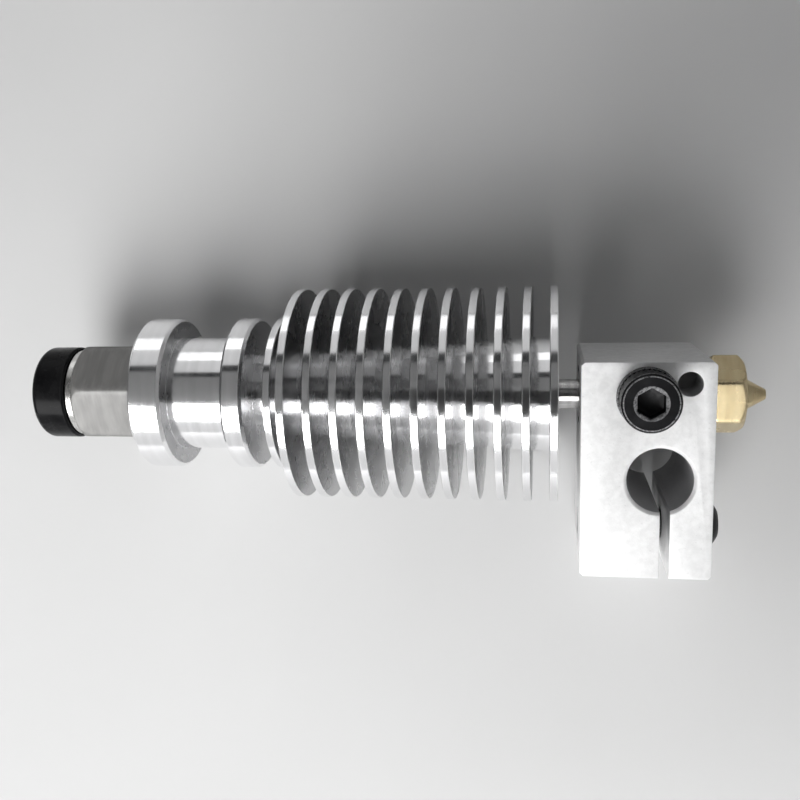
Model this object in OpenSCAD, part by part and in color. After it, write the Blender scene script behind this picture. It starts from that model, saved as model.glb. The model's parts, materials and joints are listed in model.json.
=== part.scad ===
// Hotend for a filament printer: finned heatsink with a groove mount and a
// push-fit tube coupling on top, heat break, heater block and nozzle below.
// The axis of the filament path is Z. The origin is on it, midway up the mounting groove.
// The front of the heater block, where the cartridge goes in, faces -Y.

/* [Mounting groove] */
// Diameter of the collar above the groove and of the flange below it
collar_d = 16; // [15:0.1:18]
// Height of the collar above the groove
collar_h = 3.5; // [3:0.1:5]
// Diameter of the neck in the groove
neck_d = 12; // [11.6:0.1:12.6]
// Height of the groove
groove_h = 6.3; // [6:0.1:8]
// Height of the flange below the groove
flange_h = 2.3; // [2:0.1:4]

/* [Heatsink] */
// Diameter of the cooling fins
fin_d = 22; // [20:0.5:26]
// Number of cooling fins
fin_count = 11; // [9:1:13]
// Distance from one fin to the next
fin_pitch = 2.6; // [2.3:0.1:3]
// Thickness of a fin
fin_t = 0.8; // [0.6:0.1:1.2]
// Diameter of the small ring above the fins
ring_d = 16; // [14:0.5:18]
// Diameter of the core under the topmost fin
core_top_d = 8.5; // [8:0.1:9.5]
// Diameter of the core at the bottom fin
core_bottom_d = 12; // [10.5:0.1:14]

/* [Filament path] */
// Outer diameter of the guide tube that the hotend takes
tube_d = 4; // [4:0.1:4.2]
// Diameter of the filament bore in the heat break and the nozzle
filament_bore_d = 2; // [1.9:0.05:2.2]
// Diameter of the nozzle's outlet
orifice_d = 0.4; // [0.2:0.1:1]
// Height of the heat break's bare neck
break_gap = 2.1; // [1.5:0.1:3]
// Diameter of the heat break's bare neck
break_neck_d = 3; // [2.8:0.1:4]

/* [Heater block] */
// Height of the block, along the nozzle's axis
block_h = 12.3; // [11.9:0.1:13]
// Length of the block, from the nozzle's end to the clamp's end
block_l = 20.9; // [20.5:0.1:23]
// Depth of the block, along the heater cartridge
block_w = 16; // [15:0.5:18]
// Distance from the nozzle's axis to the near end of the block
block_end = 4.3; // [4:0.1:5]
// Diameter of the bore that holds the heater cartridge
cartridge_d = 6.2; // [6:0.05:6.5]
// Width of the clamp's slit
slit_w = 0.9; // [0.6:0.1:1.2]
// Diameter of the thermistor's pocket
pocket_d = 2.3; // [2:0.1:2.3]

/* [Nozzle] */
// Width across the flats of the nozzle
nozzle_flats = 7; // [6:0.5:8]
// Height of the nozzle's hexagon
nozzle_hex_h = 3.1; // [2.5:0.1:4]
// Angle by which a corner of the nozzle's hexagon is turned from the front
nozzle_turn = 26; // [0:1:59]
// Height of the nozzle's cone
nozzle_tip_h = 2.3; // [2:0.1:4]

/* [Tube coupling] */
// Width across the flats of the coupling
coupling_flats = 9.7; // [9.6:0.1:11]
// Angle by which a corner of the coupling's hexagon is turned from the front
coupling_turn = 11; // [0:1:59]
// Diameter of the release collar
release_d = 9.9; // [9.5:0.1:11]
// Travel of the release collar
release_travel = 1.2; // [0.8:0.1:1.2]

/* [Hidden] */
$fn = 96;

// Clearance on the radius between a thread and its hole, and of a sliding fit.
// Threads are plain cylinders at their outer diameter.
gap = 0.05;
// Amount by which a cutter passes a face that it opens
past = 1;
// Depth by which a stretch of one piece reaches into the next, so that they join
bury = 0.5;

// Heights on the axis, from the top down
collar_top = groove_h / 2 + collar_h;
neck_top = groove_h / 2;
neck_bottom = -groove_h / 2;
flange_bottom = neck_bottom - flange_h;
flange_to_ring = 2.2;
ring_to_fins = 1.4;
ring_top = flange_bottom - flange_to_ring;
fins_top = ring_top - fin_t - ring_to_fins;
sink_bottom = fins_top - (fin_count - 1) * fin_pitch - fin_t;
block_top = sink_bottom - break_gap;
block_bottom = block_top - block_h;
nozzle_stand_off = 0.5;
hex_top = block_bottom - nozzle_stand_off;
hex_bottom = hex_top - nozzle_hex_h;
nozzle_bottom = hex_bottom - nozzle_tip_h;

// Bores and threads
tube_r = tube_d / 2 + 0.1;
edge = 0.3;
coupling_thread_r = 4.9;
coupling_thread_l = 6.5;
socket_depth = 7.5;
socket_bottom = collar_top - socket_depth;
socket_mouth = 0.5;
break_thread_r = 3.5;
break_thread_l = 15;
break_top = sink_bottom + break_thread_l;
break_seat = break_top - 8;
nozzle_thread_r = 3;
nozzle_relief_r = 2.5;
nozzle_cone_r = 1.8;
nozzle_face_r = 0.5;
break_engaged = 5;
break_bottom = block_top - break_engaged;

// Places on the heater block: X from the nozzle's axis, Z on the block's height
cartridge_x = -7;
cartridge_z = block_top - 7.4;
cartridge_mouth = 0.3;
slit_z = cartridge_z - 0.5;
clamp_x = -13.4;
pocket_x = 2.25;
pocket_z = block_top - 9.9;
pocket_depth = 4.5;
sensor_screw_x = 1;
sensor_screw_z = block_top - 6.1;
sensor_hole_depth = 4.4;
block_front = -block_w / 2;

// Small screws
screw_r = 1.5;
clamp_clear_r = 1.6;
clamp_screw_l = 10;
clamp_head_r = 2.85;
clamp_head_h = 1.65;
clamp_edge_h = 0.25;
clamp_flat_r = 1.4;
sensor_screw_l = 4;
cap_head_r = 2.75;
cap_head_h = 3;
washer_r = 2.9;
washer_bore_r = 1.6;
washer_t = 0.5;
socket_wall = 1 / cos(30);

// Heights inside the tube coupling, from the bottom up
coupling_thread_bottom = collar_top - coupling_thread_l;
undercut_h = 1;
undercut_r = coupling_thread_r - 0.6;
coupling_hex_top = collar_top + 7.6;
coupling_nose_h = 1.2;
coupling_nose_r = 4.7;
cavity_bottom = collar_top + 1.05;
cavity_r = 3.65;
ring_seat_bottom = collar_top + 5.95;
guide_ring_r = 4.05;
guide_ring_top = coupling_hex_top + 0.8;
guide_flange_r = 4.65;
sleeve_r = 2.95;
release_bottom = guide_ring_top + 0.1;
release_top = release_bottom + 3.7;
rim_top = ring_seat_bottom - release_travel - 0.05;
rim_h = 0.45;
nose_h = 0.4;

function core_r(z) = let (share = (fins_top - z) / (fins_top - sink_bottom))
    (core_top_d + share * (core_bottom_d - core_top_d)) / 2;
function arc(centre, radius, from, to, steps) = [for (i = [0:steps])
    let (angle = from + (to - from) * i / steps)
    [centre[0] + radius * cos(angle), centre[1] + radius * sin(angle)]];

// A turned piece: points are [radius, height]
module lathe(points) {
    rotate_extrude() polygon(points);
}

// A bar with six flats, one corner towards the front when it isn't turned
module hexagon(flats, bottom, top) {
    translate([0, 0, bottom])
        rotate([0, 0, -90])
            cylinder(r = flats / 2 * socket_wall, h = top - bottom, $fn = 6);
}

module heatsink() {
    collar_r = collar_d / 2;
    groove = [[collar_r - edge, collar_top], [collar_r, collar_top - edge],
              [collar_r, neck_top + edge], [collar_r - edge, neck_top],
              [neck_d / 2, neck_top], [neck_d / 2, neck_bottom],
              [collar_r - edge, neck_bottom], [collar_r, neck_bottom - edge],
              [collar_r, flange_bottom + edge], [collar_r - edge, flange_bottom],
              [core_top_d / 2, flange_bottom]];
    small_ring = [[core_top_d / 2, ring_top], [ring_d / 2, ring_top],
                  [ring_d / 2, ring_top - fin_t], [core_top_d / 2, ring_top - fin_t]];
    fins = [for (i = [0:fin_count - 1]) let (z = fins_top - i * fin_pitch)
            each [[core_r(z), z], [fin_d / 2, z], [fin_d / 2, z - fin_t],
                  [core_r(z - fin_t), z - fin_t]]];
    bores = [[break_thread_r, sink_bottom], [break_thread_r, break_top + 0.1],
             [tube_r, break_top + 0.9], [tube_r, socket_bottom],
             [coupling_thread_r, socket_bottom],
             [coupling_thread_r, collar_top - socket_mouth],
             [coupling_thread_r + socket_mouth, collar_top]];
    color("silver") lathe(concat(groove, small_ring, fins, bores));
}

module heat_break() {
    color("lightsteelblue") lathe([
        [tube_r, break_top], [break_thread_r - gap - edge, break_top],
        [break_thread_r - gap, break_top - edge], [break_thread_r - gap, sink_bottom],
        [break_neck_d / 2, sink_bottom], [break_neck_d / 2, block_top],
        [nozzle_thread_r - gap, block_top], [nozzle_thread_r - gap, break_bottom],
        [filament_bore_d / 2, break_bottom], [filament_bore_d / 2, break_seat - 1],
        [tube_r, break_seat]]);
}

// The block's outline seen from the front, with its corners broken
module block_outline() {
    near = block_end;
    far = block_end - block_l;
    polygon([[near, block_top - edge], [near - edge, block_top], [far + edge, block_top],
             [far, block_top - edge], [far, block_bottom + edge],
             [far + edge, block_bottom], [near - edge, block_bottom],
             [near, block_bottom + edge]]);
}

// A cylinder along Y, from the block's front face inwards
module front_hole(x, z, r, depth) {
    translate([x, block_front - past, z])
        rotate([-90, 0, 0]) cylinder(r = r, h = depth + past);
}

// The broken edge at one mouth of the cartridge bore: side is -1 at the front, 1 at the back
module cartridge_countersink(side) {
    r = cartridge_d / 2;
    translate([cartridge_x, side * block_w / 2, cartridge_z])
        rotate([side * 90, 0, 0]) translate([0, 0, -past])
            cylinder(r1 = r + cartridge_mouth + past, r2 = r, h = cartridge_mouth + past);
}

module heater_block() {
    far = block_end - block_l;
    color("gainsboro") difference() {
        rotate([90, 0, 0]) translate([0, 0, -block_w / 2])
            linear_extrude(block_w) block_outline();
        translate([0, 0, block_bottom - past])
            cylinder(r = nozzle_thread_r, h = block_h + 2 * past);
        front_hole(cartridge_x, cartridge_z, cartridge_d / 2, block_w + past);
        cartridge_countersink(-1);
        cartridge_countersink(1);
        translate([far - past, block_front - past, slit_z - slit_w / 2])
            cube([cartridge_x - far + past, block_w + 2 * past, slit_w]);
        front_hole(pocket_x, pocket_z, pocket_d / 2, pocket_depth);
        front_hole(sensor_screw_x, sensor_screw_z, screw_r, sensor_hole_depth);
        translate([clamp_x, 0, block_bottom - past])
            cylinder(r = screw_r, h = block_h + 2 * past);
        translate([clamp_x, 0, block_bottom - past])
            cylinder(r = clamp_clear_r, h = slit_z - block_bottom + past);
    }
}

module nozzle() {
    corner_r = nozzle_flats / 2 * socket_wall;
    chamfer = corner_r - nozzle_flats / 2 + 0.1;
    thread_bottom = block_bottom + 1;
    color("darkgoldenrod") difference() {
        union() {
            lathe([[0, break_bottom], [nozzle_thread_r - gap - edge, break_bottom],
                   [nozzle_thread_r - gap, break_bottom - edge],
                   [nozzle_thread_r - gap, thread_bottom],
                   [nozzle_relief_r, thread_bottom - 0.4],
                   [nozzle_relief_r, hex_top - bury], [0, hex_top - bury]]);
            intersection() {
                rotate([0, 0, nozzle_turn]) hexagon(nozzle_flats, hex_bottom, hex_top);
                lathe([[0, hex_top], [corner_r - chamfer, hex_top],
                       [corner_r, hex_top - chamfer / 2], [corner_r, hex_bottom + chamfer],
                       [corner_r - chamfer, hex_bottom], [0, hex_bottom]]);
            }
            lathe([[0, hex_bottom + bury], [nozzle_cone_r, hex_bottom + bury],
                   [nozzle_cone_r, hex_bottom], [nozzle_face_r, nozzle_bottom],
                   [0, nozzle_bottom]]);
        }
        lathe([[0, break_bottom + past], [filament_bore_d / 2, break_bottom + past],
               [filament_bore_d / 2, hex_bottom + 0.2],
               [orifice_d / 2, nozzle_bottom + 0.6],
               [orifice_d / 2, nozzle_bottom - past], [0, nozzle_bottom - past]]);
    }
}

// A hexagonal key socket that opens at z = 0 and goes down
module key_socket(flats, depth) {
    hexagon(flats, -depth, past);
}

// Button head, screwed up into the block from below
module heater_clamp_screw() {
    centre_z = ((clamp_head_r ^ 2 + clamp_edge_h ^ 2) - (clamp_flat_r ^ 2 + clamp_head_h ^ 2))
        / (2 * (clamp_edge_h - clamp_head_h));
    dome_r = norm([clamp_flat_r, clamp_head_h - centre_z]);
    dome_start = atan2(clamp_edge_h - centre_z, clamp_head_r);
    dome_end = atan2(clamp_head_h - centre_z, clamp_flat_r);
    color("dimgray") translate([clamp_x, 0, block_bottom]) rotate([180, 0, 0])
        difference() {
            union() {
                lathe(concat([[0, 0], [clamp_head_r, 0]],
                    arc([0, centre_z], dome_r, dome_start, dome_end, 10),
                    [[0, clamp_head_h]]));
                translate([0, 0, -clamp_screw_l])
                    cylinder(r = screw_r - gap, h = clamp_screw_l + 0.1);
            }
            translate([0, 0, clamp_head_h]) key_socket(2, 1);
        }
}

// Sits on its washer on the block's front face, with its head towards -Y
module thermistor_screw() {
    knurl_edge = 0.25;
    color("dimgray") translate([sensor_screw_x, block_front - washer_t, sensor_screw_z])
        rotate([90, 0, 0]) difference() {
            union() {
                lathe([[0, 0], [cap_head_r, 0], [cap_head_r, cap_head_h - knurl_edge],
                       [cap_head_r - knurl_edge, cap_head_h], [0, cap_head_h]]);
                translate([0, 0, -sensor_screw_l])
                    cylinder(r = screw_r - gap, h = sensor_screw_l + 0.1);
            }
            translate([0, 0, cap_head_h]) key_socket(2.5, 1.5);
        }
}

module thermistor_washer() {
    color("darkslategray") translate([sensor_screw_x, block_front, sensor_screw_z])
        rotate([90, 0, 0])
            lathe([[washer_bore_r, 0], [washer_r, 0], [washer_r, washer_t],
                   [washer_bore_r, washer_t]]);
}

module coupling_body() {
    corner_r = coupling_flats / 2 * socket_wall;
    color("lightgray") rotate([0, 0, coupling_turn]) difference() {
        union() {
            lathe([[0, coupling_thread_bottom],
                   [coupling_thread_r - gap - edge, coupling_thread_bottom],
                   [coupling_thread_r - gap, coupling_thread_bottom + edge],
                   [coupling_thread_r - gap, collar_top - undercut_h],
                   [undercut_r, collar_top - undercut_h + 0.3],
                   [undercut_r, collar_top], [0, collar_top]]);
            intersection() {
                hexagon(coupling_flats, collar_top, coupling_hex_top);
                lathe([[0, collar_top], [corner_r - edge, collar_top],
                       [corner_r, collar_top + edge],
                       [corner_r, coupling_hex_top - coupling_nose_h],
                       [coupling_nose_r, coupling_hex_top], [0, coupling_hex_top]]);
            }
        }
        lathe([[0, coupling_thread_bottom - past], [tube_r, coupling_thread_bottom - past],
               [tube_r, cavity_bottom], [cavity_r, cavity_bottom],
               [cavity_r, ring_seat_bottom], [guide_ring_r, ring_seat_bottom],
               [guide_ring_r, coupling_hex_top + past], [0, coupling_hex_top + past]]);
    }
}

// The ring of rubber in the undercut, which seals the coupling against the heatsink
module coupling_face_seal() {
    section_r = 0.3;
    color("black") rotate_extrude()
        translate([undercut_r + section_r + 0.01, collar_top - section_r - 0.02])
            circle(r = section_r, $fn = 32);
}

module coupling_guide_ring() {
    inner_r = sleeve_r + 0.1;
    color("lightgray") lathe([
        [inner_r, ring_seat_bottom], [guide_ring_r - gap, ring_seat_bottom],
        [guide_ring_r - gap, coupling_hex_top + 0.1],
        [guide_flange_r, coupling_hex_top + 0.1], [guide_flange_r, guide_ring_top - 0.1],
        [guide_flange_r - 0.1, guide_ring_top], [inner_r, guide_ring_top]]);
}

module release_collar() {
    round_r = 0.8;
    outer_r = release_d / 2;
    mouth = 0.5;
    color([0.06, 0.06, 0.06]) lathe(concat(
        [[tube_r, rim_top - rim_h - nose_h], [sleeve_r - 0.3, rim_top - rim_h - nose_h],
         [sleeve_r + 0.35, rim_top - rim_h], [sleeve_r + 0.35, rim_top],
         [sleeve_r, rim_top], [sleeve_r, release_bottom],
         [outer_r - 0.2, release_bottom], [outer_r, release_bottom + 0.2]],
        arc([outer_r - round_r, release_top - round_r], round_r, 0, 90, 8),
        [[tube_r + mouth, release_top], [tube_r, release_top - mouth]]));
}

// Thin springy claws on a band, which bite a tube that is pulled back
module collet() {
    claws = 8;
    slot_w = 0.5;
    band_r = cavity_r - gap;
    band_bottom = cavity_bottom + 1.85;
    band_h = 0.55;
    color("silver") union() {
        lathe([[band_r - 0.4, band_bottom], [band_r, band_bottom],
               [band_r, band_bottom + band_h], [band_r - 0.4, band_bottom + band_h]]);
        difference() {
            lathe([[band_r - 0.2, band_bottom + band_h], [band_r - 0.5, band_bottom + band_h],
                   [tube_r + 0.05, band_bottom + 0.05], [tube_r + 0.25, band_bottom - 0.1],
                   [band_r - 0.2, band_bottom + 0.2]]);
            for (i = [0:claws - 1])
                rotate([0, 0, i * 360 / claws])
                    translate([0, -slot_w / 2, band_bottom - past])
                        cube([band_r - 0.5, slot_w, band_h + 2 * past]);
        }
    }
}

// The rubber ring that the tube is pushed through
module tube_seal() {
    section_r = (cavity_r - tube_r) / 2 - 0.04;
    color("black") rotate_extrude()
        translate([(cavity_r + tube_r) / 2, cavity_bottom + section_r + 0.02])
            circle(r = section_r, $fn = 32);
}

module seal_spacer() {
    color("white") lathe([
        [tube_r + 0.1, cavity_bottom + 1.54], [cavity_r - gap, cavity_bottom + 1.54],
        [cavity_r - gap, cavity_bottom + 1.84], [tube_r + 0.1, cavity_bottom + 1.7]]);
}

heatsink();
heat_break();
heater_block();
nozzle();
heater_clamp_screw();
thermistor_screw();
thermistor_washer();
coupling_body();
coupling_face_seal();
coupling_guide_ring();
release_collar();
collet();
tube_seal();
seal_spacer();
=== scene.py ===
"""Looks of the hotend: turned and polished heatsink, push-fit coupling, blasted heater block, brass nozzle.

Lengths in this script are millimetres until a mesh, a light or the camera is made, and angles are degrees.
Every piece is worked out round the filament path, which is Z.
"""
import json

import bmesh
import bpy
import numpy as np
from mathutils import Matrix, Vector


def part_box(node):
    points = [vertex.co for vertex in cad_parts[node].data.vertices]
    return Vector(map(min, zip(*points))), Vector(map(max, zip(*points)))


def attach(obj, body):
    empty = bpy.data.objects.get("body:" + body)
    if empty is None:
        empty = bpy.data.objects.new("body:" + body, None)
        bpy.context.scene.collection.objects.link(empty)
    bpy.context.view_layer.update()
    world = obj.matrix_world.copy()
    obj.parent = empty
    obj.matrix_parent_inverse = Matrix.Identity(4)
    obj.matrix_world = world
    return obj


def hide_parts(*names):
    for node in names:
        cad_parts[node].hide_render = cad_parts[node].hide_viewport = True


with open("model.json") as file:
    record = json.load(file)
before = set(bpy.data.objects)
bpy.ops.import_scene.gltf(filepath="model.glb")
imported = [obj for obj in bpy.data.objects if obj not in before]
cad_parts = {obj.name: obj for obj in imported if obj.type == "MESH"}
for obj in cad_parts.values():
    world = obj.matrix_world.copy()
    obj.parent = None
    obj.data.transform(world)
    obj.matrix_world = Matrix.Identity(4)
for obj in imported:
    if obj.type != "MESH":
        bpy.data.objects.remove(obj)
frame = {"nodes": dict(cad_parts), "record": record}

MM = 0.001
CORNER_PER_FLAT = 1 / np.cos(np.radians(30))
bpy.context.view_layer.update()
MOUNTS = {m["name"]: m for m in frame["record"]["mounts"]}


# ---- Sizes that the frame holds ------------------------------------------------------------

def box(node):
    """Lowest and highest corner of a CAD node, in millimetres."""
    low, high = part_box(node)
    return np.array(low) / MM, np.array(high) / MM


def mount(name, size=None):
    """A mount's place in millimetres, or one of its sizes."""
    found = MOUNTS[name]
    return found["dims"][size] if size else np.array(found["pos_m"]) / MM


def read(items, label, width, kind=float):
    """One value of each of a mesh's points, edges, faces or corners, as an array of so many columns."""
    values = np.empty(len(items) * width, kind)
    items.foreach_get(label, values)
    return values.reshape(-1, width)


def vertices(node):
    """A CAD node's points, in millimetres."""
    return read(frame["nodes"][node].data.vertices, "co", 3) / MM


def radii(node, low, high):
    """Least and greatest distance from the axis of a node's points between two heights."""
    points = vertices(node)
    inside = (points[:, 2] > low - 0.01) & (points[:, 2] < high + 0.01)
    r = np.hypot(points[inside, 0], points[inside, 1])
    return r.min(), r.max()


def six_sided(node):
    """Width across the flats of a six-sided node, the angle of one of its corners, and the height at which
    its corner edges end."""
    points = vertices(node)
    r = np.hypot(points[:, 0], points[:, 1])
    corner = points[r.argmax()]
    return (2 * r.max() / CORNER_PER_FLAT, np.degrees(np.arctan2(corner[1], corner[0])),
            points[r > r.max() - 0.01, 2].max())


SINK_LOW, SINK_HIGH = box("heatsink")
BLOCK_LOW, BLOCK_HIGH = box("heater_block")
NOZZLE_LOW, NOZZLE_HIGH = box("nozzle")
COUPLING_LOW, COUPLING_HIGH = box("coupling_body")
BREAK_LOW, BREAK_HIGH = box("heat_break")
RING_LOW = box("coupling_guide_ring")[0]
CLAMP_LOW, CLAMP_HIGH = box("heater_clamp_screw")
SENSOR_LOW, SENSOR_HIGH = box("thermistor_screw")
WASHER_LOW, WASHER_HIGH = box("thermistor_washer")

COLLAR_TOP = SINK_HIGH[2]
SINK_BOTTOM = SINK_LOW[2]
FIN_R = SINK_HIGH[0]
TUBE_R = mount("tube_entry", "r_mm")
BREAK_SEAT = mount("tube_entry")[2] - mount("tube_entry", "length_mm") / 2

COARSE_PITCH = 1.0
SCREW_PITCH, SCREW_THREAD_R, WASHER_HOLE_R = 0.5, 1.45, 1.6


# ---- Shapes --------------------------------------------------------------------------------

def make_mesh(name, points, faces, wear=None, place=None):
    """A smooth-shaded object from points in millimetres; wear says from 0 to 1 how far an edge is rubbed."""
    mesh = bpy.data.meshes.new(name)
    mesh.from_pydata(np.asarray(points) * MM, [], faces.tolist())
    if wear is not None:
        mesh.attributes.new("wear", "FLOAT", "POINT").data.foreach_set("value", wear.astype(np.float32))
    mesh.polygons.foreach_set("use_smooth", np.ones(len(mesh.polygons), bool))
    if place is not None:
        mesh.transform(place)
    mesh.validate()
    piece = bpy.data.objects.new(name, mesh)
    bpy.context.scene.collection.objects.link(piece)
    return piece


def close_poles(piece):
    """Merges the points of a row that lies on the axis, so that the surface ends in one point there."""
    shape = bmesh.new()
    shape.from_mesh(piece.data)
    bmesh.ops.remove_doubles(shape, verts=shape.verts, dist=1e-7)
    bmesh.ops.dissolve_degenerate(shape, edges=shape.edges, dist=1e-8)
    shape.to_mesh(piece.data)
    shape.free()


def carried(name, r, z, wear, closed=True, place=None):
    """A profile carried round Z: point (s, t) is (r cos t, r sin t, z), where r, z and wear are arrays of
    profile rows by angle columns. A closed profile ends where it starts; an open one starts and ends on the
    axis."""
    rows, cols = r.shape
    t = np.arange(cols) * 2 * np.pi / cols
    points = np.stack([r * np.cos(t), r * np.sin(t), z], axis=-1).reshape(-1, 3)
    index = np.arange(rows * cols).reshape(rows, cols)
    here = index if closed else index[:-1]
    above = np.roll(index, -1, axis=0) if closed else index[1:]
    faces = np.stack([here, np.roll(here, -1, 1), np.roll(above, -1, 1), above], axis=-1).reshape(-1, 4)
    piece = make_mesh(name, points, faces, wear.ravel(), place)
    if not closed:
        close_poles(piece)
    return piece


def rounded(corners, edge=0.12, steps=3, closed=True, guard=0.02, hollow=0.3):
    """A profile with its corners rounded: each becomes an arc that touches both its sides. Its radius is
    edge, or hollow times edge where the corner points inwards, or less where a side is short. A guard point
    beyond each end of the arc keeps the sides flat. Returns the points, and wear, which is 1 on an arc that
    stands out."""
    corners = np.asarray(corners, float)
    count = len(corners)
    edges = np.broadcast_to(edge, count)
    points, wear = [], []
    for k, here in enumerate(corners):
        if not closed and k in (0, count - 1):
            points.append(here[None])
            wear.append([0.0])
            continue
        side_a, side_b = corners[k - 1] - here, corners[(k + 1) % count] - here
        len_a, len_b = np.linalg.norm(side_a), np.linalg.norm(side_b)
        side_a, side_b = side_a / len_a, side_b / len_b
        half = np.arccos(np.clip(side_a @ side_b, -1, 1)) / 2
        stands_out = side_a[1] * side_b[0] - side_a[0] * side_b[1] > 0
        radius = edges[k] * (1.0 if stands_out else hollow)
        if half > np.radians(86) or radius <= 0:
            points.append(here[None])
            wear.append([0.0])
            continue
        reach = min(radius / np.tan(half), 0.42 * len_a, 0.42 * len_b)
        centre = here + (side_a + side_b) / np.linalg.norm(side_a + side_b) * reach / np.cos(half)
        start, end = here + side_a * reach - centre, here + side_b * reach - centre
        swing = np.pi - 2 * half
        w = np.linspace(0, 1, steps + 1)[:, None]
        arc = centre + (np.sin((1 - w) * swing) * start + np.sin(w * swing) * end) / np.sin(swing)
        off = min(guard, 0.05 * len_a, 0.05 * len_b)
        points.append(np.concatenate([here + side_a * (reach + off) + np.zeros((1, 2)), arc,
                                      here + side_b * (reach + off) + np.zeros((1, 2))]))
        wear.append([0.0] + [float(stands_out)] * (steps + 1) + [0.0])
    return np.concatenate(points), np.concatenate(wear)


def turned_rows(corners, cols, **rounding):
    """The rows of a round stretch: radius, height and wear, the same at every angle."""
    points, wear = rounded(corners, **rounding)
    return [np.repeat(a[:, None], cols, axis=1) for a in (points[:, 0], points[:, 1], wear)]


def stack_rows(*stretches):
    """Joins stretches of rows, each a list of radius, height and wear, into one profile."""
    return [np.concatenate(parts) for parts in zip(*stretches)]


def seam(node):
    """The outline of a turned CAD node: the corners that lie at angle 0, joined by the mesh's own edges
    there, and by level lines where a flat ring has no edge there. It runs anticlockwise in radius and
    height."""
    co = vertices(node)
    pairs = read(frame["nodes"][node].data.edges, "vertices", 2, int)
    on_seam = (np.abs(co[:, 1]) < 2e-4) & (co[:, 0] > 0)
    spots, spot_of = np.unique(np.round(co[:, [0, 2]], 3), axis=0, return_inverse=True)
    links = spot_of[pairs[on_seam[pairs].all(axis=1)]].reshape(-1, 2)
    links = np.unique(np.sort(links[links[:, 0] != links[:, 1]], axis=1), axis=0)
    neighbours = {}
    for a, b in links.tolist():
        neighbours.setdefault(a, []).append(b)
        neighbours.setdefault(b, []).append(a)
    loose = sorted((k for k in neighbours if len(neighbours[k]) == 1), key=lambda k: tuple(spots[k][::-1]))
    for a, b in zip(loose[::2], loose[1::2]):
        neighbours[a].append(b)
        neighbours[b].append(a)
    first = min(neighbours)
    order, here, before = [first], neighbours[first][0], first
    while here != first:
        order.append(here)
        here, before = next(k for k in neighbours[here] if k != before), here
    corners = spots[order]
    r, z = corners.T
    area = np.sum(r * np.roll(z, -1) - np.roll(r, -1) * z)
    return corners if area > 0 else corners[::-1]


def turned(node, name, cols=192, **rounding):
    """A turned CAD node again, with its edges broken and its outline carried round in many more steps."""
    return carried(name, *turned_rows(seam(node), cols, **rounding))


def hexagon(flats, cols, corner_at=0.0, sharpness=44):
    """Radius of a six-sided bar at each angle: the sum over its sides of (cos(t - side) / half width) **
    sharpness, to the power -1 / sharpness. The corners come out slightly rounded."""
    t = np.arange(cols) * 2 * np.pi / cols
    sides = np.radians(corner_at + 30 + 60 * np.arange(6))
    lean = np.clip(np.cos(t[None] - sides[:, None]), 1e-9, None) / (flats / 2)
    return np.sum(lean ** sharpness, axis=0) ** (-1 / sharpness)


def soft_least(a, b, blend=0.05):
    """The smaller of two radii, blended where they are nearly equal: -blend ln(exp(-a/blend) +
    exp(-b/blend))."""
    return -blend * np.logaddexp(-a / blend, -b / blend)


def bar_rows(bar, z, cone):
    """Rows of a bar whose ends are turned: its radius by angle is cut back to cone, a radius by height."""
    r = soft_least(np.broadcast_to(bar, (len(z), len(bar))), np.repeat(cone[:, None], len(bar), 1))
    cut = np.exp(-np.abs(bar[None] - cone[:, None]) / 0.12)
    corner = np.clip((bar / bar.min() - 1.09) / 0.05, 0, 1)
    return [r, np.repeat(z[:, None], len(bar), 1), np.clip(np.maximum(cut, corner[None] * 0.8), 0, 1)]


def thread_rows(low, high, outer, pitch, cols):
    """Rows of a right-hand thread from low to high: the radius falls from outer by 0.54 pitch times a wave of
    the height over the pitch less the turn, and the wave dies away in the last turn at each end."""
    depth = 0.54 * pitch
    z = np.linspace(low, high, max(int((high - low) / pitch * 12), 4))[:, None]
    t = np.arange(cols)[None] / cols
    phase = (z / pitch - t) % 1.0
    groove = np.clip(1.35 * np.abs(2 * phase - 1) - 0.15, 0, 1)
    lead_in = np.clip(np.minimum(z - low, high - z) / (0.6 * pitch), 0, 1)
    r = outer - depth * np.maximum(groove, 1 - lead_in)
    return [r, np.repeat(z, cols, 1), (1 - groove) * lead_in]


def softened(node, name, edge):
    """A copy of a CAD node with its doubles merged, its flats made whole and its edges rounded to a
    radius."""
    shape = bmesh.new()
    shape.from_mesh(frame["nodes"][node].data)
    bmesh.ops.remove_doubles(shape, verts=shape.verts, dist=2e-7)
    bmesh.ops.dissolve_limit(shape, angle_limit=np.radians(0.5), verts=shape.verts, edges=shape.edges)
    mesh = bpy.data.meshes.new(name)
    shape.to_mesh(mesh)
    shape.free()
    mesh.polygons.foreach_set("use_smooth", np.ones(len(mesh.polygons), bool))
    piece = bpy.data.objects.new(name, mesh)
    bpy.context.scene.collection.objects.link(piece)
    bevel = piece.modifiers.new("broken_edges", "BEVEL")
    bevel.width = edge * MM
    bevel.segments = 3
    bevel.limit_method = "ANGLE"
    bevel.angle_limit = np.radians(30)
    bevel.harden_normals = True
    bevel.use_clamp_overlap = True
    return piece


# ---- Effects that several finishes share ---------------------------------------------------

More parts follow.
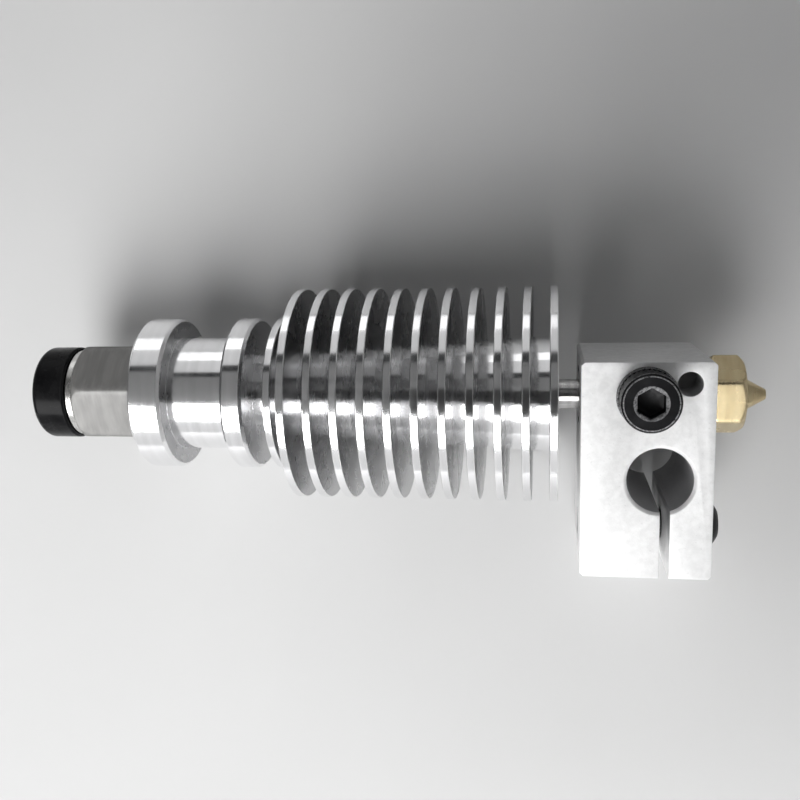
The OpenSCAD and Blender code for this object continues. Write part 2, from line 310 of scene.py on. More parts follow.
class Graph:
    """Short words for making and linking nodes in a tree."""

    def __init__(self, tree):
        self.tree = tree

    def node(self, kind, inputs=None, **settings):
        made = self.tree.nodes.new(kind)
        for key, value in settings.items():
            setattr(made, key, value)
        for key, value in (inputs or {}).items():
            self.give(made.inputs[key], value)
        return made

    def give(self, socket, value):
        if isinstance(value, bpy.types.NodeSocket):
            self.tree.links.new(value, socket)
        else:
            socket.default_value = value

    def maths(self, operation, *values, clamp=False):
        made = self.node("ShaderNodeMath", operation=operation, use_clamp=clamp)
        for socket, value in zip(made.inputs, values):
            self.give(socket, value)
        return made.outputs[0]

    def noise(self, vector, scale, detail=2.0, rough=0.5):
        return self.node("ShaderNodeTexNoise", {"Vector": vector, "Scale": scale, "Detail": detail,
                                                "Roughness": rough}).outputs["Fac"]

    def span(self, value, low, high, to_low=0.0, to_high=1.0):
        return self.node("ShaderNodeMapRange", {"Value": value, "From Min": low, "From Max": high,
                                                "To Min": to_low, "To Max": to_high}).outputs["Result"]

    def mix(self, share, a, b):
        made = self.node("ShaderNodeMix", data_type="RGBA")
        self.give(made.inputs[0], share)
        self.give(made.inputs[6], a)
        self.give(made.inputs[7], b)
        return made.outputs[2]


def effect(name, inputs, outputs):
    """A new node group with float inputs (name: value) and float outputs, and its graph."""
    tree = bpy.data.node_groups.new(name, "ShaderNodeTree")
    for label, value in inputs.items():
        tree.interface.new_socket(label, in_out="INPUT", socket_type="NodeSocketFloat").default_value = value
    for label in outputs:
        tree.interface.new_socket(label, in_out="OUTPUT", socket_type="NodeSocketFloat")
    graph = Graph(tree)
    return tree, graph, graph.node("NodeGroupInput").outputs, graph.node("NodeGroupOutput").inputs


def turning_marks():
    """Fine rings left by the lathe: noise of the distance from the axis and the height, the same all the way
    round, with a slow waver so that no two rings look alike. Faced is 1 on the level faces, which the tool
    leaves duller, and where a finish may lay painted shade."""
    tree, g, given, out = effect("turning_marks", {"Spacing": 9000.0, "Waver": 0.15},
                                 ["Height", "Tone", "Faced"])
    coordinates = g.node("ShaderNodeTexCoord").outputs
    place = coordinates["Object"]
    facing = g.node("ShaderNodeSeparateXYZ", {"Vector": coordinates["Normal"]}).outputs
    g.give(out["Faced"], g.span(g.maths("ABSOLUTE", facing[2]), 0.85, 0.97))
    parts = g.node("ShaderNodeSeparateXYZ", {"Vector": place}).outputs
    radius = g.maths("SQRT", g.maths("ADD", g.maths("POWER", parts[0], 2.0), g.maths("POWER", parts[1], 2.0)))
    drift = g.maths("MULTIPLY", g.noise(place, 260.0, 1.0), g.maths("MULTIPLY", given["Waver"], 0.002))
    along = g.node("ShaderNodeCombineXYZ", {"X": g.maths("ADD", radius, drift), "Y": 0.0,
                                            "Z": g.maths("ADD", parts[2], drift)}).outputs[0]
    fine = g.noise(along, given["Spacing"], 3.0, 0.6)
    broad = g.noise(along, g.maths("MULTIPLY", given["Spacing"], 0.16), 2.0, 0.5)
    g.give(out["Height"], g.maths("ADD", g.maths("MULTIPLY", fine, 0.6), g.maths("MULTIPLY", broad, 0.4)))
    g.give(out["Tone"], broad)
    return tree


def blasting():
    """The dimpled skin of bead blasting: two sizes of small cells for the height, and slow cloudy patches for
    the tone, where the beads struck harder."""
    tree, g, given, out = effect("blasting", {"Grain": 9000.0, "Patch": 900.0}, ["Height", "Patches"])
    place = g.node("ShaderNodeTexCoord").outputs["Object"]
    cells = g.node("ShaderNodeTexVoronoi", {"Vector": place, "Scale": given["Grain"]}).outputs["Distance"]
    fine = g.noise(place, g.maths("MULTIPLY", given["Grain"], 0.55), 3.0, 0.65)
    g.give(out["Height"], g.maths("ADD", g.maths("MULTIPLY", cells, 0.45), g.maths("MULTIPLY", fine, 0.75)))
    g.give(out["Patches"], g.span(g.noise(place, given["Patch"], 3.0, 0.6), 0.36, 0.64))
    return tree


def handling():
    """Smears of handling: stretched low noise that makes some patches duller than others."""
    tree, g, given, out = effect("handling", {"Size": 220.0}, ["Smear", "Specks"])
    place = g.node("ShaderNodeTexCoord").outputs["Object"]
    g.give(out["Smear"], g.span(g.noise(place, given["Size"], 4.0, 0.6), 0.42, 0.68))
    specks = g.noise(place, g.maths("MULTIPLY", given["Size"], 24.0), 2.0, 0.5)
    g.give(out["Specks"], g.span(specks, 0.66, 0.74))
    return tree


def edge_wear():
    """Rubbed edges: the mesh's own wear value, broken up by noise."""
    tree, g, given, out = effect("edge_wear", {"Break": 2600.0}, ["Worn"])
    place = g.node("ShaderNodeTexCoord").outputs["Object"]
    worn = g.node("ShaderNodeAttribute", attribute_name="wear").outputs["Fac"]
    patchy = g.span(g.noise(place, given["Break"], 3.0, 0.7), 0.3, 0.62)
    g.give(out["Worn"], g.maths("MULTIPLY", worn, patchy, clamp=True))
    return tree


TURNING, BLASTING, HANDLING, EDGE_WEAR = turning_marks(), blasting(), handling(), edge_wear()


# ---- Finishes ------------------------------------------------------------------------------

def finish_graph(name, **constants):
    """A material with its Principled shader, whose constant sockets are set by name, and its graph."""
    material = bpy.data.materials.new(name)
    material.use_nodes = True
    graph = Graph(material.node_tree)
    shader = material.node_tree.nodes["Principled BSDF"]
    for label, value in constants.items():
        shader.inputs[label.replace("_", " ")].default_value = value
    return material, graph, shader


def use(graph, tree, **inputs):
    """Places a shared effect in a material."""
    made = graph.node("ShaderNodeGroup")
    made.node_tree = tree
    for label, value in inputs.items():
        made.inputs[label].default_value = value
    return made.outputs


def bump(graph, shader, height, strength, depth):
    """Feeds a height into the shader's normal; depth is in millimetres."""
    made = graph.node("ShaderNodeBump", {"Strength": strength, "Distance": depth * MM, "Height": height})
    graph.give(shader.inputs["Normal"], made.outputs["Normal"])


def turned_metal(name, light, dark, rough, spread, marks=0.35, depth=0.004, spacing=9000.0, smears=0.5,
                 level_face_shade_and_dullness=0.0, metallic=1.0):
    """Turned metal: base colour between light and dark by the lathe's rings, painted darker on its level
    faces as painted shade for the gaps between fins and rougher there, duller where it was handled, and its
    edges brighter where they are rubbed."""
    material, g, shader = finish_graph(name, Metallic=metallic)
    rings = use(g, TURNING, Spacing=spacing)
    smear = use(g, HANDLING)
    worn = use(g, EDGE_WEAR)["Worn"]
    tone = g.mix(g.span(rings["Tone"], 0.35, 0.65), (*dark, 1), (*light, 1))
    tone = g.mix(g.maths("MULTIPLY", smear["Smear"], smears * 0.3), tone, (*[c * 0.8 for c in dark], 1))
    # Painted shade: the level faces are darkened towards grey, standing in for the shade in the gaps between
    # the fins; the roughness rise further down is their real duller facing.
    if level_face_shade_and_dullness:
        tone = g.mix(g.maths("MULTIPLY", rings["Faced"], level_face_shade_and_dullness), tone, (0.25, 0.25, 0.255, 1))
    brighter = tuple(min(1.0, c * 1.06 + 0.03) for c in light)
    g.give(shader.inputs["Base Color"], g.mix(g.maths("MULTIPLY", worn, 0.7), tone, (*brighter, 1)))
    dull = g.maths("ADD", g.maths("MULTIPLY", smear["Smear"], spread * smears),
                   g.maths("MULTIPLY", rings["Tone"], spread * (1 - smears)))
    if level_face_shade_and_dullness:
        dull = g.maths("ADD", dull, g.maths("MULTIPLY", rings["Faced"], 0.12))
    g.give(shader.inputs["Roughness"], g.maths("ADD", g.maths("ADD", dull, rough),
                                               g.maths("MULTIPLY", worn, 0.05)))
    bump(g, shader, rings["Height"], marks, depth)
    return material


def polished_aluminium():
    """Bright turned aluminium; the faces of its fins are painted greyer than their rims, as painted shade for
    the dark gaps between the fins, and are a little rougher.
    """
    return turned_metal("polished_aluminium", (0.93, 0.93, 0.94), (0.85, 0.85, 0.86), 0.1, 0.12,
                        marks=0.3, depth=0.003, spacing=7000.0, level_face_shade_and_dullness=0.7)


def nickel():
    """Bright plated brass, for the turned guide ring."""
    return turned_metal("bright_nickel", (0.62, 0.615, 0.60), (0.52, 0.515, 0.50), 0.18, 0.14,
                        marks=0.3, depth=0.004, spacing=12000.0)


def dull_nickel():
    """The plated bar that the coupling is cut from: drawn and tumbled, so its flats are greyer than its
    turned rim."""
    return turned_metal("dull_nickel", (0.2, 0.198, 0.192), (0.155, 0.153, 0.149), 0.46, 0.14,
                        marks=0.25, depth=0.004, spacing=9000.0, smears=0.7, metallic=0.3)


def bare_steel():
    """Plain turned or stamped steel."""
    return turned_metal("bare_steel", (0.55, 0.545, 0.54), (0.42, 0.415, 0.41), 0.12, 0.12, marks=0.3)


def machined_brass():
    """Brass cut bright, a little browned in patches."""
    return turned_metal("machined_brass", (0.74, 0.62, 0.385), (0.65, 0.52, 0.305), 0.22, 0.12,
                        marks=0.35, depth=0.005, spacing=8000.0, smears=0.6)


def blasted_aluminium():
    """Bead-blasted aluminium: near white and matt, with cloudy patches and a fine dimpled skin; the faces
    inside its holes and slit get painted shade, a darker grey.
    """
    material, g, shader = finish_graph("blasted_aluminium", Metallic=0.12, Specular_IOR_Level=0.2)
    skin = use(g, BLASTING, Grain=8500.0, Patch=1300.0)
    smear = use(g, HANDLING, Size=140.0)
    tone = g.mix(skin["Patches"], (0.88, 0.88, 0.88, 1), (0.97, 0.97, 0.97, 1))
    tone = g.mix(g.maths("MULTIPLY", smear["Specks"], 0.25), tone, (0.55, 0.55, 0.55, 1))
    # Painted shade: where the block's shade value is 1 (inside the holes, and in the slit near the bore) the
    # tone is darkened to grey, standing in for the shade inside them.
    painted_recess_shade = g.node("ShaderNodeAttribute", attribute_name="painted_recess_shade").outputs["Fac"]
    tone = g.mix(g.span(painted_recess_shade, 0.45, 0.75), tone, (0.42, 0.42, 0.425, 1))
    g.give(shader.inputs["Base Color"], tone)
    g.give(shader.inputs["Roughness"], g.span(skin["Patches"], 0.0, 1.0, 0.5, 0.62))
    bump(g, shader, skin["Height"], 0.55, 0.02)
    return material


def black_oxide():
    """Blackened steel, oily, with grey showing at rubbed edges and at socket mouths, where the grey is partly
    a painted highlight.
    """
    material, g, shader = finish_graph("black_oxide", Metallic=0.0, Specular_IOR_Level=0.12)
    smear = use(g, HANDLING, Size=500.0)
    skin = use(g, BLASTING, Grain=14000.0, Patch=2600.0)
    worn = use(g, EDGE_WEAR, Break=4200.0)["Worn"]
    tone = g.mix(smear["Smear"], (0.007, 0.007, 0.008, 1), (0.018, 0.018, 0.020, 1))
    g.give(shader.inputs["Base Color"], g.mix(g.maths("MULTIPLY", worn, 0.75), tone, (0.5, 0.5, 0.51, 1)))
    g.give(shader.inputs["Roughness"], g.span(skin["Patches"], 0.0, 1.0, 0.3, 0.44))
    bump(g, shader, skin["Height"], 0.15, 0.006)
    return material


def black_plastic():
    """Moulded black plastic with a weak gloss, faint flow marks and small scuffs."""
    material, g, shader = finish_graph("black_plastic", Metallic=0.0, Specular_IOR_Level=0.06)
    smear = use(g, HANDLING, Size=420.0)
    worn = use(g, EDGE_WEAR, Break=3000.0)["Worn"]
    tone = g.mix(smear["Smear"], (0.004, 0.004, 0.0045, 1), (0.009, 0.009, 0.0095, 1))
    tone = g.mix(g.maths("MULTIPLY", smear["Specks"], 0.35), tone, (0.09, 0.09, 0.09, 1))
    g.give(shader.inputs["Base Color"], g.mix(g.maths("MULTIPLY", worn, 0.12), tone, (0.1, 0.1, 0.1, 1)))
    g.give(shader.inputs["Roughness"], g.span(smear["Smear"], 0.0, 1.0, 0.2, 0.32))
    bump(g, shader, use(g, BLASTING, Grain=5000.0, Patch=700.0)["Height"], 0.12, 0.01)
    return material


def seal_rubber():
    """Nitrile rubber with a soft sheen."""
    material, g, shader = finish_graph("seal_rubber", Metallic=0.0)
    smear = use(g, HANDLING, Size=900.0)
    tone = g.mix(smear["Smear"], (0.014, 0.014, 0.014, 1), (0.03, 0.03, 0.03, 1))
    g.give(shader.inputs["Base Color"], tone)
    g.give(shader.inputs["Roughness"], g.span(smear["Smear"], 0.0, 1.0, 0.42, 0.58))
    bump(g, shader, use(g, BLASTING, Grain=12000.0)["Height"], 0.2, 0.006)
    return material


def white_plastic():
    """Slippery white plastic, faintly cloudy."""
    material, g, shader = finish_graph("white_plastic", Metallic=0.0, Subsurface_Weight=0.1)
    smear = use(g, HANDLING, Size=700.0)
    g.give(shader.inputs["Base Color"], g.mix(smear["Smear"], (0.80, 0.80, 0.78, 1), (0.88, 0.88, 0.86, 1)))
    g.give(shader.inputs["Roughness"], g.span(smear["Smear"], 0.0, 1.0, 0.35, 0.5))
    bump(g, shader, use(g, TURNING, Spacing=12000.0)["Height"], 0.2, 0.004)
    return material


ALUMINIUM = polished_aluminium()
STEEL = bare_steel()
BRASS = machined_brass()
NICKEL = nickel()
DULL_NICKEL = dull_nickel()
BLASTED = blasted_aluminium()
OXIDE = black_oxide()
PLASTIC = black_plastic()
RUBBER = seal_rubber()
WHITE = white_plastic()


def fit(piece, node, material, body="hotend"):
    """Gives a piece its finish and its body, and hides the CAD node that it stands for."""
    piece.data.materials.clear()
    piece.data.materials.append(material)
    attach(piece, body)
    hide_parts(node)
    return piece


# ---- Heatsink and heat break ---------------------------------------------------------------

def heatsink():
    """The turned aluminium body, from the CAD node's own outline."""
    piece = turned("heatsink", "finned_heatsink", cols=224, edge=0.1, steps=3)
    return fit(piece, "heatsink", ALUMINIUM)


BLOCK_THREAD_R = max(r for r, z in seam("heat_break") if z < BLOCK_HIGH[2] - 1)


def heat_break():
    """Steel tube: a thread in the heatsink, a bare thin neck and a slimmer thread in the block."""
    cols = 144
    upper_r = BREAK_HIGH[0]
    neck_r = min(r for r, z in seam("heat_break") if SINK_BOTTOM + 0.01 > z > BLOCK_HIGH[2] - 0.01)
    bore_r = min(seam("heat_break")[:, 0])
    low, high = BREAK_LOW[2], BREAK_HIGH[2]
    inside = turned_rows([(TUBE_R, high), (TUBE_R, BREAK_SEAT), (bore_r, BREAK_SEAT - 1), (bore_r, low)],
                         cols, edge=0.06, closed=False)
    neck = turned_rows([(BLOCK_THREAD_R, BLOCK_HIGH[2]), (neck_r, BLOCK_HIGH[2]), (neck_r, SINK_BOTTOM),
                        (upper_r, SINK_BOTTOM)], cols, edge=0.12, closed=False)
    rows = stack_rows(thread_rows(low, BLOCK_HIGH[2], BLOCK_THREAD_R, COARSE_PITCH, cols), neck,
                      thread_rows(SINK_BOTTOM, high, upper_r, COARSE_PITCH, cols), inside)
    return fit(carried("heat_break_tube", *rows), "heat_break", STEEL)


# ---- Heater block and its screws -----------------------------------------------------------

def heater_block():
    """The blasted block, with its edges broken. A per-corner shade value is 1 on the faces inside its
    outline, which get painted shade; on the level ones, which the saw left, it runs from 1 at the corners by
    the bore to
    0 at the outer ones, so the painted shade in the slit fades towards its open end."""
    piece = softened("heater_block", "heater_block_body", edge=0.16)
    mesh = piece.data
    middles = read(mesh.polygons, "center", 3) / MM
    normals = read(mesh.polygons, "normal", 3)
    sides = read(mesh.polygons, "loop_total", 1, int).ravel()
    corners = read(mesh.vertices, "co", 3)[read(mesh.loops, "vertex_index", 1, int).ravel()] / MM
    skin = 0.4
    inside = ((middles > BLOCK_LOW + skin) & (middles < BLOCK_HIGH - skin)).all(axis=1)
    sawn = np.abs(normals[:, 2]) > 0.99
    near_bore = corners[:, 0] > 0.5 * (BLOCK_LOW[0] + mount("cartridge_bore")[0])
    # Painted shade value: 1 inside the holes, and in the slit 1 near the bore, fading to 0 at its open end.
    dark = np.repeat(inside, sides) * np.where(np.repeat(sawn, sides), near_bore, 1.0)
    mesh.attributes.new("painted_recess_shade", "FLOAT", "CORNER").data.foreach_set("value", dark.astype(np.float32))
    return fit(piece, "heater_block", BLASTED)


def screw(name, shank_l, head, socket_flats, socket_depth, place, knurl=None, cols=180):
    """A socket screw with its head's underside at height 0 and its shank below: the profile starts in the
    middle of the tip, climbs the thread, rounds the head (a list of corners) and goes down into the six-sided
    socket, whose mouth gets full wear and so is painted light grey, partly as rubbing and partly as a painted
    highlight on its chamfer."""
    shank_r = SCREW_THREAD_R
    top = head[-1][1]
    mouth_r = socket_flats / 2 * CORNER_PER_FLAT + 0.12
    tip = turned_rows([(0, -shank_l), (shank_r - 0.35, -shank_l), (shank_r, -shank_l + 0.3)], cols,
                      edge=0.05, closed=False)
    thread = thread_rows(-shank_l + 0.3, -0.3, shank_r, SCREW_PITCH, cols)
    neck = [(shank_r - 0.1, -0.2), (shank_r - 0.1, 0)]
    mouth = [(mouth_r + 0.08, top), (mouth_r, top)]
    body = turned_rows(neck + head + mouth, cols, edge=0.14, closed=False)
    # Painted highlight: the mouth row gets full wear, so the finish paints it light grey; partly real
    # rubbing, partly a stand-in for the lit chamfer.
    body[2][-1] = 1.0
    if knurl:
        body[0] = body[0] - knurl(body[0], body[1])
    six = hexagon(socket_flats, cols)[None]
    wall_z = np.array([top - 0.16, top - 0.3, top - socket_depth + 0.05, top - socket_depth])[:, None]
    wall = [six * np.array([1, 1, 1, 0.97])[:, None], np.repeat(wall_z, cols, 1), np.zeros((4, cols))]
    # Painted highlight: the top row of the socket wall gets full wear too, painting it light grey.
    wall[2][0] = 1.0
    floor = turned_rows([(socket_flats * 0.3, top - socket_depth), (0, top - socket_depth - 0.25)], cols,
                        closed=False)
    return carried(name, *stack_rows(tip, thread, body, wall, floor), closed=False, place=place)


def clamp_screw():
    """Button-headed screw that closes the block's slit, driven from below."""
    head_r = (CLAMP_HIGH[0] - CLAMP_LOW[0]) / 2
    head_h = BLOCK_LOW[2] - CLAMP_LOW[2]
    flat_r, rim_h = 0.49 * head_r, 0.15 * head_h
    centre = ((head_r ** 2 + rim_h ** 2) - (flat_r ** 2 + head_h ** 2)) / (2 * (rim_h - head_h))
    dome_r = np.hypot(flat_r, head_h - centre)
    swing = np.linspace(np.arctan2(rim_h - centre, head_r), np.arctan2(head_h - centre, flat_r), 9)
    dome = [(dome_r * np.cos(a), centre + dome_r * np.sin(a)) for a in swing]
    axis_x = (CLAMP_HIGH[0] + CLAMP_LOW[0]) / 2
    place = Matrix.Translation(Vector((axis_x, 0, BLOCK_LOW[2])) * MM) @ Matrix.Rotation(np.pi, 4, "X")
    piece = screw("clamp_screw", CLAMP_HIGH[2] - BLOCK_LOW[2], [(head_r, 0)] + dome, socket_flats=2.0,
                  socket_depth=1.0, place=place)
    return fit(piece, "heater_clamp_screw", OXIDE)


def thermistor_screw():
    """Cap screw with a knurled head, on the front of the block."""
    head_r = (SENSOR_HIGH[0] - SENSOR_LOW[0]) / 2
    seat_y, head_top = WASHER_LOW[1], SENSOR_LOW[1]
    head_h = seat_y - head_top
    ribs = 36

    def knurl(r, z):
        t = np.arange(r.shape[1]) * 2 * np.pi / r.shape[1]
        side = np.clip((r - head_r + 0.2) / 0.15, 0, 1) * np.clip((head_h - 0.45 - z) / 0.1, 0, 1)
        return 0.09 * side * (0.5 + 0.5 * np.cos(ribs * t))

    centre = (SENSOR_LOW + SENSOR_HIGH) / 2
    place = (Matrix.Translation(Vector((centre[0], seat_y, centre[2])) * MM)
             @ Matrix.Rotation(np.pi / 2, 4, "X"))
    head = [(head_r, 0), (head_r, head_h - 0.25), (head_r - 0.25, head_h)]
    piece = screw("thermistor_screw_body", SENSOR_HIGH[1] - seat_y, head, socket_flats=2.5, socket_depth=1.5,
                  place=place, knurl=knurl, cols=360)
    return fit(piece, "thermistor_screw", OXIDE)


def thermistor_washer():
    """Punched washer: its front edge is rounded and its back edge sharp."""
    cols = 160
    r_out = (WASHER_HIGH[0] - WASHER_LOW[0]) / 2
    thick = WASHER_HIGH[1] - WASHER_LOW[1]
    centre = (WASHER_LOW + WASHER_HIGH) / 2
    place = (Matrix.Translation(Vector((centre[0], WASHER_HIGH[1], centre[2])) * MM)
             @ Matrix.Rotation(np.pi / 2, 4, "X"))
    corners = [(WASHER_HOLE_R, 0), (r_out, 0), (r_out, thick), (WASHER_HOLE_R, thick)]
    rows = turned_rows(corners, cols, edge=np.array([0.03, 0.04, 0.14, 0.08]))
    return fit(carried("washer_disc", *rows, place=place), "thermistor_washer", OXIDE)


# ---- Nozzle --------------------------------------------------------------------------------

def nozzle():
    """Brass nozzle: threaded shank, relief groove, six-sided body with turned ends, and cone."""
    cols = 360
    flats, turn, _ = six_sided("nozzle")
    corner_r = flats / 2 * CORNER_PER_FLAT
    bottom, top = NOZZLE_LOW[2], NOZZLE_HIGH[2]
    points = vertices("nozzle")
    beyond_shank = points[np.hypot(points[:, 0], points[:, 1]) > BLOCK_THREAD_R + 0.1, 2]
    hex_low, hex_high = beyond_shank.min(), beyond_shank.max()
    outlet_r, face_r = radii("nozzle", bottom, bottom)
    cone_r = radii("nozzle", hex_low, hex_low)[0]
    relief_r = radii("nozzle", BLOCK_LOW[2] + 0.1, BLOCK_LOW[2] + 0.8)[1]
    bore_r = radii("nozzle", top, top)[0]
    cone = turned_rows([(outlet_r, bottom + 0.6), (outlet_r, bottom), (face_r, bottom), (cone_r, hex_low),
                        (corner_r - 0.75, hex_low)], cols, edge=0.05, closed=False)
    bar = hexagon(flats, cols, corner_at=turn)
    z = np.concatenate([np.linspace(hex_low, hex_low + 0.9, 26), np.linspace(hex_low + 1, hex_high - 0.5, 6),
                        np.linspace(hex_high - 0.4, hex_high, 14)])
    ends = np.minimum(corner_r - 0.62 + 1.1 * (z - hex_low), corner_r - 0.35 + 1.2 * (hex_high - z))
    upper = turned_rows([(corner_r - 0.5, hex_high), (relief_r, hex_high), (relief_r, BLOCK_LOW[2] + 0.7),
                         (BLOCK_THREAD_R - 0.5, BLOCK_LOW[2] + 1)], cols, edge=0.08, closed=False)
    inside = turned_rows([(BLOCK_THREAD_R - 0.4, top), (bore_r, top), (bore_r, hex_low + 0.2),
                          (outlet_r, bottom + 0.65)], cols, edge=0.05, closed=False)
    rows = stack_rows(cone, bar_rows(bar, z, ends), upper,
                      thread_rows(BLOCK_LOW[2] + 1, top, BLOCK_THREAD_R, COARSE_PITCH, cols), inside)
    return fit(carried("brass_nozzle", *rows), "nozzle", BRASS)


# ---- Tube coupling -------------------------------------------------------------------------

def coupling_body():
    """Plated body: thread and undercut in the heatsink, six-sided bar with a turned nose, stepped bore."""
    cols = 360
    flats, turn, nose_low = six_sided("coupling_body")
    corner_r = flats / 2 * CORNER_PER_FLAT
    top = COUPLING_HIGH[2]
    nose_h = top - nose_low
    seat_r, nose_r = radii("coupling_body", top, top)
    thread_r = radii("coupling_body", COUPLING_LOW[2] + 0.3, COLLAR_TOP - 1.1)[1]
    undercut_r = radii("coupling_body", COLLAR_TOP - 0.71, COLLAR_TOP - 0.69)[1]
    cavity_low, cavity_r = box("tube_seal")[0][2] - 0.02, box("collet")[1][0] + 0.05
    seat_low = RING_LOW[2]
    bar = hexagon(flats, cols, corner_at=turn)
    z = np.concatenate([np.linspace(COLLAR_TOP, COLLAR_TOP + 0.5, 14),
                        np.linspace(COLLAR_TOP + 0.6, top - 2.4, 12),
                        np.linspace(top - 2.3, top - 0.02, 46)])
    nose = nose_r + (corner_r - nose_r) * np.sqrt(np.clip(1 - (1 - (top - z) / (nose_h * 1.5)) ** 2, 0, 1))
    nose = np.where(top - z > nose_h * 1.5, corner_r + 0.2, nose)
    ends = np.minimum(nose, corner_r - 0.3 + 1.0 * (z - COLLAR_TOP) + 0.02)
    lower = turned_rows([(undercut_r, COLLAR_TOP - 0.9), (undercut_r, COLLAR_TOP),
                         (corner_r - 0.4, COLLAR_TOP)], cols, edge=0.08, closed=False)
    inside = turned_rows([(nose_r - 0.1, top), (seat_r, top), (seat_r, seat_low), (cavity_r, seat_low),
                          (cavity_r, cavity_low), (TUBE_R, cavity_low), (TUBE_R, COUPLING_LOW[2]),
                          (thread_r - 0.4, COUPLING_LOW[2])], cols, edge=0.08, closed=False)
    rows = stack_rows(thread_rows(COUPLING_LOW[2], COLLAR_TOP - 1, thread_r, COARSE_PITCH, cols), lower,
                      bar_rows(bar, z, ends), inside)
    return fit(carried("coupling_hex_body", *rows), "coupling_body", DULL_NICKEL)


def turned_trim():
    """The coupling's other turned pieces, each from its CAD node's outline."""
    fit(turned("coupling_face_seal", "face_seal", cols=128, edge=0), "coupling_face_seal", RUBBER)
    fit(turned("tube_seal", "tube_seal_ring", cols=128, edge=0), "tube_seal", RUBBER)
    fit(turned("seal_spacer", "spacer_ring", cols=128, edge=0.04), "seal_spacer", WHITE)
    fit(turned("coupling_guide_ring", "guide_ring", cols=160, edge=0.07), "coupling_guide_ring", NICKEL)
    fit(turned("release_collar", "release_button", cols=192, edge=0.12), "release_collar", PLASTIC,
        body="release")


def collet():
    """The claws keep their CAD shape and get the steel finish."""
    claws = frame["nodes"]["collet"]
    claws.data.materials.clear()
    claws.data.materials.append(STEEL)


# ---- Camera, lights and paper --------------------------------------------------------------

TOWARDS_CAMERA_TURN = 9.56
CAMERA_DISTANCE = 99.1
CAMERA_BELOW_COLLAR_TOP = 42.4
CAMERA_LENS = 42.92
CAMERA_YAW, CAMERA_PITCH, CAMERA_ROLL = 8.87, -0.42, 0.19

LEAN = np.radians(TOWARDS_CAMERA_TURN)
DOWN_AXIS = Vector((0, 0, -1))
UP_SIDE = Vector((np.cos(LEAN), np.sin(LEAN), 0))
OUT = Vector((np.sin(LEAN), -np.cos(LEAN), 0))
LYING = Matrix((DOWN_AXIS, UP_SIDE, OUT)).transposed()


def at(along, up, out):
    """A place in metres, from millimetres down the axis from the collar's top, across it towards the side
    away from the clamp, and out from the paper."""
    return (Vector((0, 0, COLLAR_TOP)) + LYING @ Vector((along, up, out))) * MM


def camera():
    """Above the lying hotend, nearly square to it, and turned a little."""
    data = bpy.data.cameras.new("camera")
    data.lens = CAMERA_LENS
    data.clip_start, data.clip_end = 0.005, 5
    made = bpy.data.objects.new("camera", data)
    bpy.context.scene.collection.objects.link(made)
    turn = (Matrix.Rotation(np.radians(CAMERA_YAW), 3, "Y")
            @ Matrix.Rotation(np.radians(CAMERA_PITCH), 3, "X")
            @ Matrix.Rotation(np.radians(CAMERA_ROLL), 3, "Z"))
    made.matrix_world = Matrix.LocRotScale(at(CAMERA_BELOW_COLLAR_TOP, 0, CAMERA_DISTANCE),
                                           (LYING @ turn).to_quaternion(), None)
    bpy.context.scene.camera = made


def area_light(name, spot, aim, width, height, power):
    """A rectangular soft light at one place, facing another, each given as along, up and out."""
    data = bpy.data.lights.new(name, "AREA")
    data.shape = "RECTANGLE"
    data.size = width * MM
    data.size_y = height * MM
    data.energy = power
    made = bpy.data.objects.new(name, data)
    bpy.context.scene.collection.objects.link(made)
    out = (at(*spot) - at(*aim)).normalized()
    across = DOWN_AXIS - out * DOWN_AXIS.dot(out)
    across.normalize()
    facing = Matrix((across, out.cross(across), out)).transposed()
    made.matrix_world = Matrix.LocRotScale(at(*spot), facing.to_quaternion(), None)
    return made


def lights():
    """Soft light from the clamp's side. The first two light the matt surfaces and aren't mirrored in the
    metal. The next four are only mirrored: a window and its sill on the clamp's side, and two weak ones on
    the other. The last lights the back, through the sheet, and the air is dim all round."""
    middle = (32, 0, 0)
    area_light("daylight", (-78, -510, 602), middle, 430, 790, 10.2).visible_glossy = False
    area_light("fill", (160, -560, 640), middle, 700, 500, 2.7).visible_glossy = False
    area_light("window", (-330, -610, 690), middle, 1000, 560, 15.0).visible_diffuse = False
    area_light("sill_glow", (-200, -880, 236), middle, 900, 556, 1.1).visible_diffuse = False
    area_light("far_wall", (-70, 260, 170), middle, 280, 170, 0.085).visible_diffuse = False
    area_light("far_glow", (-80, 330, 62), middle, 280, 120, 0.13).visible_diffuse = False
    area_light("behind", (20, -160, -330), middle, 420, 200, 0.2)
    world = bpy.data.worlds.new("air")
    bpy.context.scene.world = world
    world.use_nodes = True
    air = world.node_tree.nodes["Background"].inputs
    air["Color"].default_value = (0.93, 0.96, 1.0, 1)
    air["Strength"].default_value = 0.03
    bpy.context.scene.view_settings.view_transform = "Standard"


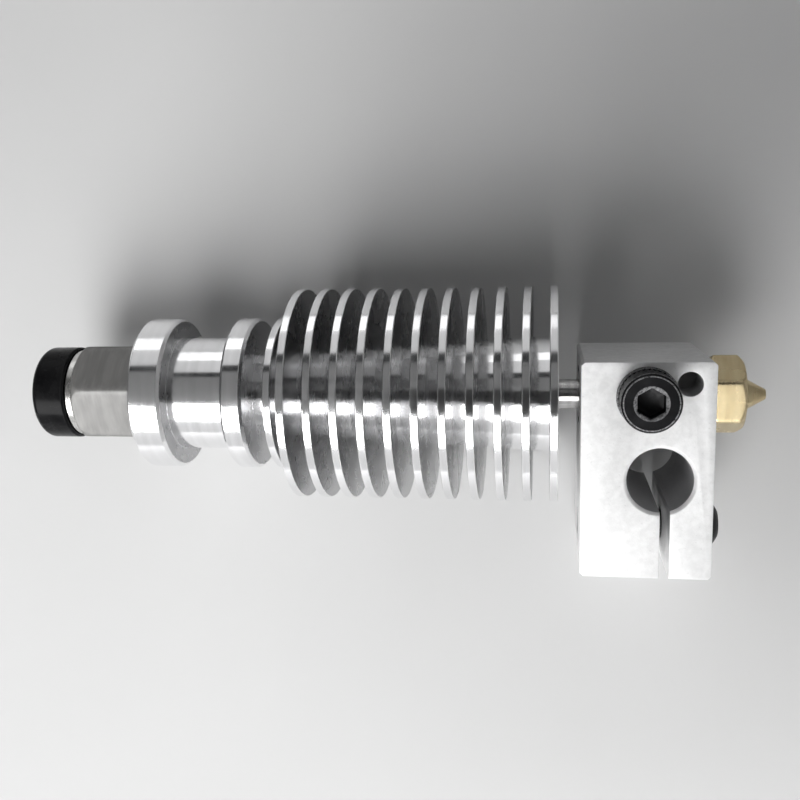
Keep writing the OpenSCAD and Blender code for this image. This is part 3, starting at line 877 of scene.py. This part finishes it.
def paper_finish(one_sided):
    """Pale paper with a faint tooth; a one-sided sheet can't be seen from behind."""
    material, g, shader = finish_graph("paper_sheet" if one_sided else "paper_floor")
    place = g.node("ShaderNodeTexCoord").outputs["Object"]
    cloud = g.noise(place, 30.0, 3.0, 0.5)
    g.give(shader.inputs["Base Color"], g.mix(cloud, (0.56, 0.56, 0.56, 1), (0.61, 0.61, 0.61, 1)))
    shader.inputs["Roughness"].default_value = 0.85
    bump(g, shader, g.noise(place, 2500.0, 4.0, 0.6), 0.1, 0.05)
    if one_sided:
        clear = g.node("ShaderNodeBsdfTransparent")
        choose = g.node("ShaderNodeMixShader", {0: g.node("ShaderNodeNewGeometry").outputs["Backfacing"],
                                                1: shader.outputs[0], 2: clear.outputs[0]})
        g.give(material.node_tree.nodes["Material Output"].inputs["Surface"], choose.outputs[0])
    return material


def flat_sheet(name, corners, material):
    """A flat four-sided sheet that isn't part of the object, from its corners in millimetres."""
    made = make_mesh(name, corners, np.array([[0, 1, 2, 3]]))
    made.data.materials.append(material)
    return made


def level_corners(along, up, out):
    """The corners of an oblong that lies level with the table: along and up give its two ends."""
    spots = ((along[0], up[0]), (along[1], up[0]), (along[1], up[1]), (along[0], up[1]))
    return [np.array(at(a, u, out)) / MM for a, u in spots]


def card(name, along, up, out, material):
    """A card above the object that the camera doesn't see."""
    made = flat_sheet(name, level_corners(along, up, out), material)
    made.visible_camera = False
    return made


def cards():
    """A black card that shades the paper but isn't mirrored, and a grey one that only shows as a dark band in
    the metal."""
    black = finish_graph("black_card", Roughness=0.9, Base_Color=(0.06, 0.06, 0.06, 1))[0]
    grey = finish_graph("grey_card", Roughness=0.9, Base_Color=(0.28, 0.28, 0.28, 1))[0]
    card("shade_card", (13, 106), (-79, 8), 100, black).visible_glossy = False
    card("band_card", (-70, 150), (-36, 60), 101, grey).visible_shadow = False


def stage():
    """The sheet of paper that the hotend lies against, and a floor well below it."""
    ends = (-900.0, 900.0)
    gap = FIN_R + 0.05
    back = flat_sheet("paper_sheet", level_corners(ends, ends, -gap), paper_finish(one_sided=True))
    back.visible_shadow = False
    floor_z = COLLAR_TOP - 112
    floor = [(x, y, floor_z) for x, y in ((ends[0], ends[0]), (ends[1], ends[0]), (ends[1], ends[1]),
                                          (ends[0], ends[1]))]
    flat_sheet("paper_floor", floor, paper_finish(one_sided=False))


# ---- The whole -----------------------------------------------------------------------------

camera()
heatsink()
heat_break()
heater_block()
clamp_screw()
thermistor_screw()
thermistor_washer()
nozzle()
coupling_body()
turned_trim()
collet()
lights()
cards()
stage()
